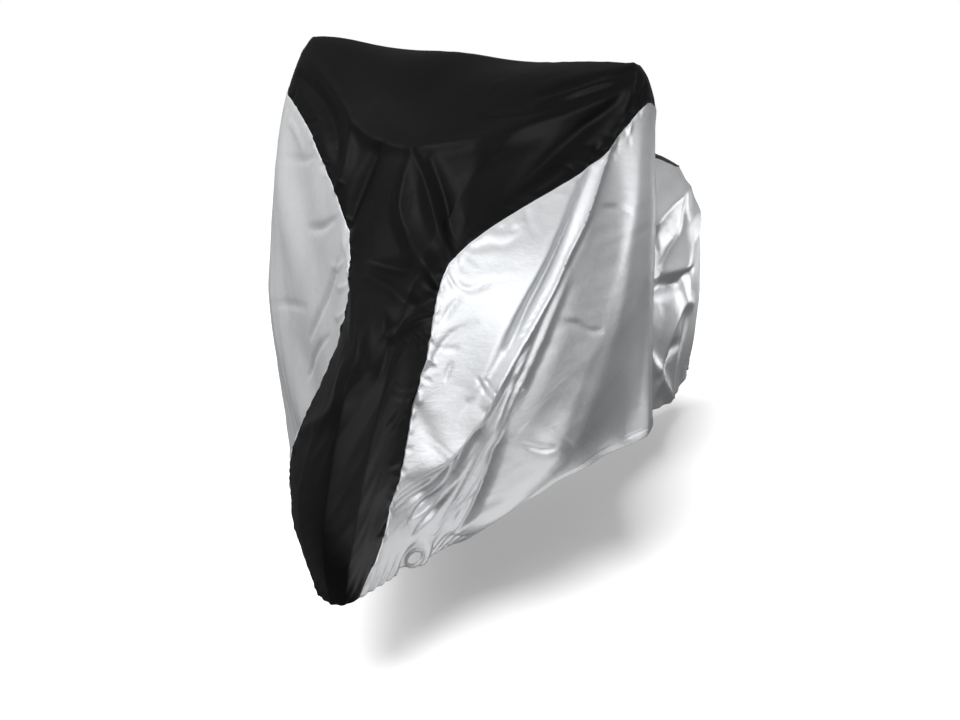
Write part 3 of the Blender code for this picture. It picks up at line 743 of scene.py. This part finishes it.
def math_node(tree, operation, a, b=0.0):
    """Result of one sum on two numbers."""
    return add(tree, "ShaderNodeMath", {"operation": operation}, in0=a, in1=b).outputs[0]


def noise_node(tree, place, **settings):
    """Value of a noise at each place."""
    return add(tree, "ShaderNodeTexNoise", Vector=place, **settings).outputs["Fac"]


def new_material(name):
    """Material with a Principled BSDF, its node tree and that shader."""
    material = bpy.data.materials.new(name)
    material.use_nodes = True
    return material, material.node_tree, material.node_tree.nodes["Principled BSDF"]


def coated_cloth(name, light, dark, rough, metallic, shine, pitch, grain):
    """Woven cloth with a coating: plain weave, fine crinkle, and a surface worn a little uneven."""
    material, tree, shader = new_material(name)
    shader.inputs["Metallic"].default_value = metallic
    shader.inputs["IOR"].default_value = 1.5
    shader.inputs["Specular IOR Level"].default_value = shine
    cloth = add(tree, "ShaderNodeUVMap", {"uv_map": "cloth"}).outputs["UV"]
    place = add(tree, "ShaderNodeTexCoord").outputs["Object"]
    blotch = noise_node(tree, place, Scale=9.0, Detail=3.0, Roughness=0.55)
    mist = noise_node(tree, place, Scale=160.0, Detail=2.0, Roughness=0.6)
    tone = math_node(tree, "ADD", math_node(tree, "MULTIPLY", blotch, 0.7),
                     math_node(tree, "MULTIPLY", mist, 0.3))
    ramp = add(tree, "ShaderNodeValToRGB", Fac=tone)
    for stop, position, colour in zip(ramp.color_ramp.elements, (0.30, 0.70), (dark, light)):
        stop.position = position
        stop.color = linear(colour)
    tree.links.new(ramp.outputs["Color"], shader.inputs["Base Color"])
    spread = add(tree, "ShaderNodeMapRange", Value=tone, From_Min=0.3, From_Max=0.7,
                 To_Min=rough - 0.05, To_Max=rough + 0.06)
    tree.links.new(spread.outputs[0], shader.inputs["Roughness"])
    split = add(tree, "ShaderNodeSeparateXYZ", Vector=cloth)
    turns = math.tau / pitch
    warp = math_node(tree, "SINE", math_node(tree, "MULTIPLY", split.outputs["X"], turns))
    weft = math_node(tree, "SINE", math_node(tree, "MULTIPLY", split.outputs["Y"], turns))
    weave = math_node(tree, "MULTIPLY", warp, weft)
    crinkle = noise_node(tree, cloth, Scale=85.0, Detail=4.0, Roughness=0.6, Distortion=0.6)
    crease = add(tree, "ShaderNodeBump", Strength=grain, Distance=0.0012, Height=crinkle)
    threads = add(tree, "ShaderNodeBump", Strength=0.25, Distance=0.00004, Height=weave,
                  Normal=crease.outputs["Normal"])
    tree.links.new(threads.outputs["Normal"], shader.inputs["Normal"])
    return material


def moulded_plastic(name, colour):
    """Plastic from a mould, with the faint flow marks that it leaves."""
    material, tree, shader = new_material(name)
    shader.inputs["Base Color"].default_value = linear(colour)
    shader.inputs["IOR"].default_value = 1.53
    place = add(tree, "ShaderNodeTexCoord").outputs["Object"]
    flow = noise_node(tree, place, Scale=700.0, Detail=3.0)
    spread = add(tree, "ShaderNodeMapRange", Value=flow, To_Min=0.22, To_Max=0.38)
    tree.links.new(spread.outputs[0], shader.inputs["Roughness"])
    skin = add(tree, "ShaderNodeBump", Strength=0.15, Distance=0.0001, Height=flow)
    tree.links.new(skin.outputs["Normal"], shader.inputs["Normal"])
    return material


# Polyester taffeta, black, with a satin waterproof coating.
BLACK = coated_cloth("black_coated_polyester", "09090A", "050506", 0.47, 0.0, 0.20, 0.0003, 0.10)
# The same taffeta under an aluminium-pigment coating, which turns away sun.
SILVER = coated_cloth("silver_coated_polyester", "E0E2E4", "D4D6D9", 0.40, 0.5, 0.5, 0.0003, 0.42)
# Nylon ring, moulded in a pale grey.
RING_GREY = moulded_plastic("moulded_nylon_ring", "F2F3F4")
print("finishes", [m.name for m in bpy.data.materials])


# %% [markdown]
# One panel at a time. The panel is laid out as a flat grid, cut round its ring, doubled for its
# two faces, and then each corner goes to its place on the cover.

# %%
def new_object(name, bm, material):
    """Object in the scene from a finished bmesh, with its material on it."""
    bmesh.ops.recalc_face_normals(bm, faces=bm.faces)
    mesh = bpy.data.meshes.new(name)
    bm.to_mesh(mesh)
    bm.free()
    mesh.shade_smooth()
    mesh.materials.append(material)
    made = bpy.data.objects.new(name, mesh)
    bpy.context.scene.collection.objects.link(made)
    return made


def ring_hole(steps, centre):
    """Grid squares of a panel that lie inside the ring's neck."""
    middles = (surface[:-1, :-1] + surface[1:, :-1] + surface[1:, 1:] + surface[:-1, 1:]) / 4
    inside = np.linalg.norm(middles - np.array(centre), axis=2) < NECK + HOLE_EASE
    return {(r, s) for r, s in zip(*np.nonzero(inside)) if steps[0] <= s < steps[1]}


def to_rim(spot, centre, normal):
    """The spot moved sideways onto the hole that the ring's neck fills."""
    centre, normal = np.array(centre), np.array(normal)
    away = (spot - centre) @ normal
    flat = spot - centre - away * normal
    return centre + away * normal + flat / np.linalg.norm(flat) * (NECK + FIT)


def panel(name, steps, material, eyelet=None):
    """One panel of cloth as a closed sheet, with a round hole where its ring goes."""
    wide, high = steps[1] - steps[0], LAST_ROW
    middle = Vector((steps[0] + wide / 2, high / 2, 0.0))
    bm = bmesh.new()
    bmesh.ops.create_grid(bm, x_segments=wide, y_segments=high, size=0.5,
                          matrix=Matrix.Translation(middle) @ Matrix.Diagonal((wide, high, 1, 1)))
    hole = ring_hole(steps, eyelet[1]) if eyelet else set()
    cut = [f for f in bm.faces
           if (int(f.calc_center_median().y), int(f.calc_center_median().x)) in hole]
    bmesh.ops.delete(bm, geom=cut, context="FACES")
    rim = {(r + a, s + b) for r, s in hole for a in (0, 1) for b in (0, 1)}
    doubled = bmesh.ops.extrude_face_region(bm, geom=list(bm.faces))["geom"]
    inside = [item for item in doubled if isinstance(item, bmesh.types.BMVert)]
    bmesh.ops.translate(bm, verts=inside, vec=(0, 0, -1))
    lengths = []
    for vert in bm.verts:
        row, step = round(vert.co.y), round(vert.co.x)
        spot = inner[row, step] if vert.co.z < -0.5 else outer[row, step]
        vert.co = to_rim(spot, *eyelet[1:]) if (row, step) in rim else spot
        lengths.append((across[row, step], along[row, step]))
    made = new_object(name, bm, material)
    corner_of = np.empty(len(made.data.loops), dtype=np.int32)
    made.data.loops.foreach_get("vertex_index", corner_of)
    chart = made.data.uv_layers.new(name="cloth")
    chart.data.foreach_set("uv", np.array(lengths, dtype=np.float32)[corner_of].ravel())
    print(name, len(made.data.polygons), "faces")
    return made


black = panel("black_centre_cloth", SEAMS, BLACK)
left = panel("silver_left_cloth", (0, SEAMS[0]), SILVER, EYELETS[0])
right = panel("silver_right_cloth", (SEAMS[1], LAST_STEP), SILVER, EYELETS[1])


# %% [markdown]
# A ring is turned from its section: a flange on each face of the cloth, rounded at the rim, and a
# neck through the hole. It grips the two faces between its flanges.

# %%
RING_SIDES = 64
CROWN_STEP = math.radians(15)
SHARP = math.radians(50)


def ring(name, centre, normal):
    """Moulded ring round the neck of an eyelet."""
    face = CLOTH / 2 + FIT
    half = (RING - BORE) / 2
    crown = [((BORE + RING) / 2 + math.cos(math.pi - k * CROWN_STEP) * half,
              face + FIT + math.sin(k * CROWN_STEP) * FLANGE * BULGE)
             for k in range(round(math.pi / CROWN_STEP) + 1)]
    upper = crown + [(RING, face), (NECK, face)]
    profile = upper + [(radius, -height) for radius, height in reversed(upper)]
    bm = bmesh.new()
    corners = [bm.verts.new((radius, 0, height)) for radius, height in profile]
    edges = [bm.edges.new((a, b)) for a, b in zip(corners, corners[1:] + corners[:1])]
    bmesh.ops.spin(bm, geom=corners + edges, cent=(0, 0, 0), axis=(0, 0, 1),
                   angle=math.tau, steps=RING_SIDES, use_merge=True)
    turn = Vector((0, 0, 1)).rotation_difference(Vector(normal)).to_matrix().to_4x4()
    middle = Vector(centre) - Vector(normal) * CLOTH / 2
    bmesh.ops.transform(bm, matrix=Matrix.Translation(middle) @ turn, verts=bm.verts)
    made = new_object(name, bm, RING_GREY)
    made.data.set_sharp_from_angle(angle=SHARP)
    return made


rings = [ring("moulded_ring_" + side, centre, normal) for side, centre, normal in EYELETS]
print("rings", [len(r.data.polygons) for r in rings])

# %% [markdown]
# Everything rides on the one body, and the imported solids that the cloth and the rings take the place of
# are hidden. The flat sizes of the cut cloth are measured along the surface.

# %%
flats = {}
for piece, steps in ((black, SEAMS), (left, (0, SEAMS[0])), (right, (SEAMS[1], LAST_STEP))):
    wide = across[:, steps[1]] - across[:, steps[0]]
    long = along[-1, steps[0]:steps[1] + 1]
    spot = surface[:, steps[0]:steps[1] + 1]
    a, b = np.diff(spot, axis=1)[:-1], np.diff(spot, axis=0)[:, :-1]
    area = float(np.linalg.norm(np.cross(a, b), axis=2).sum())
    flats[piece.name] = (round(float(wide.max()), 3), round(float(long.max()), 3), round(area, 3))
print(flats)
for piece in (black, left, right, *rings):
    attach(piece, "root")
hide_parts("black_centre_panel")
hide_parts("silver_left_panel", "eyelet_patch_left")
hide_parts("silver_right_panel", "eyelet_patch_right")
for made, side in zip(rings, ("left", "right")):
    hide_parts("eyelet_ring_" + side)
for piece, parts in ((black, []), (left, [rings[0]]), (right, [rings[1]])):
    wide, long, area = flats[piece.name]


# %% [markdown]
# A plain pale floor where the wheels stand, with a little light of its own. The cloth does not
# mirror it. A broad lamp and one overhead light the cloth, and boxes that only show as reflections
# draw the bright and dark sides of its folds. The room is dimmer for the cloth than for the camera,
# most of all below the horizon.

# %%
bm = bmesh.new()
bmesh.ops.create_grid(bm, x_segments=1, y_segments=1, size=30.0)
bmesh.ops.translate(bm, verts=bm.verts, vec=(0, 0, FLOOR))
PAPER, tree, shader = new_material("studio_floor")
shader.inputs["Base Color"].default_value = linear("F4F4F4")
shader.inputs["Roughness"].default_value = 0.9
shader.inputs["Emission Color"].default_value = linear("FFFFFF")
shader.inputs["Emission Strength"].default_value = 0.28
floor = new_object("studio_floor", bm, PAPER)
floor.visible_diffuse = False
floor.visible_glossy = False


def place_light(name, lamp, hidden_from):
    """Lamp in the scene, hidden from some kinds of rays."""
    made = bpy.data.objects.new(name, lamp)
    bpy.context.scene.collection.objects.link(made)
    for rays in hidden_from:
        setattr(made, "visible_" + rays, False)
    return made


def soft_light(name, place, target, size, power, hidden_from, spread=180.0):
    """Square lamp that faces a point, and spreads its light over so many degrees."""
    lamp = bpy.data.lights.new(name, "AREA")
    lamp.shape = "SQUARE"
    lamp.size = size
    lamp.energy = power
    lamp.spread = math.radians(spread)
    made = place_light(name, lamp, hidden_from)
    made.location = place
    made.rotation_euler = (Vector(target) - Vector(place)).to_track_quat("-Z", "Y").to_euler()


soft_light("key", (0.05, -1.75, 0.25), (0.05, 0.0, -0.45), 0.8, 17, ("glossy",))
soft_light("side_box", (1.63, -0.65, -0.35), (0.15, -0.05, -0.45), 1.3, 13, ("diffuse",))
soft_light("back_box", (0.85, 2.7, -0.5), (0.02, 0.95, -0.45), 0.75, 0.48, ("diffuse", "camera"), 36.0)
soft_light("bounce_card", (0.42, -0.06, -1.02), (0.42, -0.06, 0.0), 0.5, 1.1, ("diffuse", "camera"))
soft_light("front_strip", (-0.25, -1.30, 1.10), (0.05, 0.0, -0.10), 0.6, 7, ("diffuse",))
sun = bpy.data.lights.new("overhead", "SUN")
sun.energy = 3.2
sun.angle = math.radians(30)
overhead = place_light("overhead", sun, ("glossy",))
overhead.rotation_euler = Vector((0.12, -0.55, 1.0)).to_track_quat("Z", "Y").to_euler()

world = bpy.data.worlds.new("studio")
world.use_nodes = True
tree = world.node_tree
path = add(tree, "ShaderNodeLightPath")
upward = add(tree, "ShaderNodeTexCoord").outputs["Generated"]
rise = add(tree, "ShaderNodeSeparateXYZ", Vector=upward).outputs["Z"]
room = add(tree, "ShaderNodeMapRange", Value=rise, From_Min=-0.4, From_Max=0.1,
           To_Min=0.12, To_Max=0.27).outputs[0]
strength = add(tree, "ShaderNodeMapRange", Value=path.outputs["Is Camera Ray"], To_Min=room, To_Max=1.0)
tree.links.new(strength.outputs[0], tree.nodes["Background"].inputs["Strength"])
tree.nodes["Background"].inputs["Color"].default_value = linear("FFFFFF")
bpy.context.scene.world = world
bpy.context.scene.view_settings.view_transform = "Standard"

camera_data = bpy.data.cameras.new("camera")
camera_data.lens = LENS
camera_data.sensor_width = FILM
camera_data.shift_y = SHIFT
camera = bpy.data.objects.new("camera", camera_data)
camera.location = CAMERA_PLACE
camera.rotation_euler = CAMERA_TURN
bpy.context.scene.collection.objects.link(camera)
bpy.context.scene.camera = camera
print("camera at", [round(x, 3) for x in camera.location])
